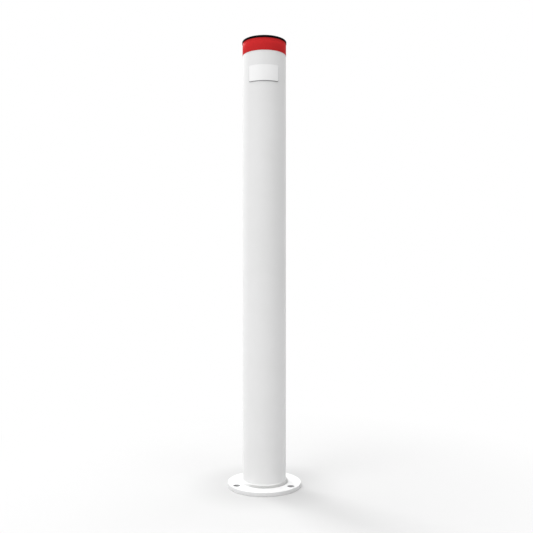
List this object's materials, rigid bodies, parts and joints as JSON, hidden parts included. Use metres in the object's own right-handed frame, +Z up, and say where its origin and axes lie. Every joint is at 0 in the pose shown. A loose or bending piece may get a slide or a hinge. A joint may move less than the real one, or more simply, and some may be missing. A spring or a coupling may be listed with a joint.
{
  "type": "bollard",
  "caption": "Round white steel safety post on a bolt-down base plate, with a black push-in cap, a red reflective band and a blank label plate.",
  "frame": {"origin": "centre of the base plate's underside, on the ground", "axes": "+Z up along the post, -Y towards the front with the label, +X to the right seen from the front"},
  "size_m": [0.15, 0.15, 0.9105],
  "materials": {
    "base_plate": "white powder coat",
    "post_tube": "white powder coat",
    "base_weld": "thin greyish white powder coat over weld ripples",
    "top_cap": "black moulded polyethylene",
    "reflective_band": "red reflective tape",
    "label_plate": "white satin plastic"
  },
  "bodies": {
    "root": {"base_plate": "base_plate", "post_tube": "post_tube", "base_weld": "base_weld", "top_cap": "top_cap", "reflective_band": "reflective_band", "label_plate": "label_plate"}
  },
  "joints": []
}
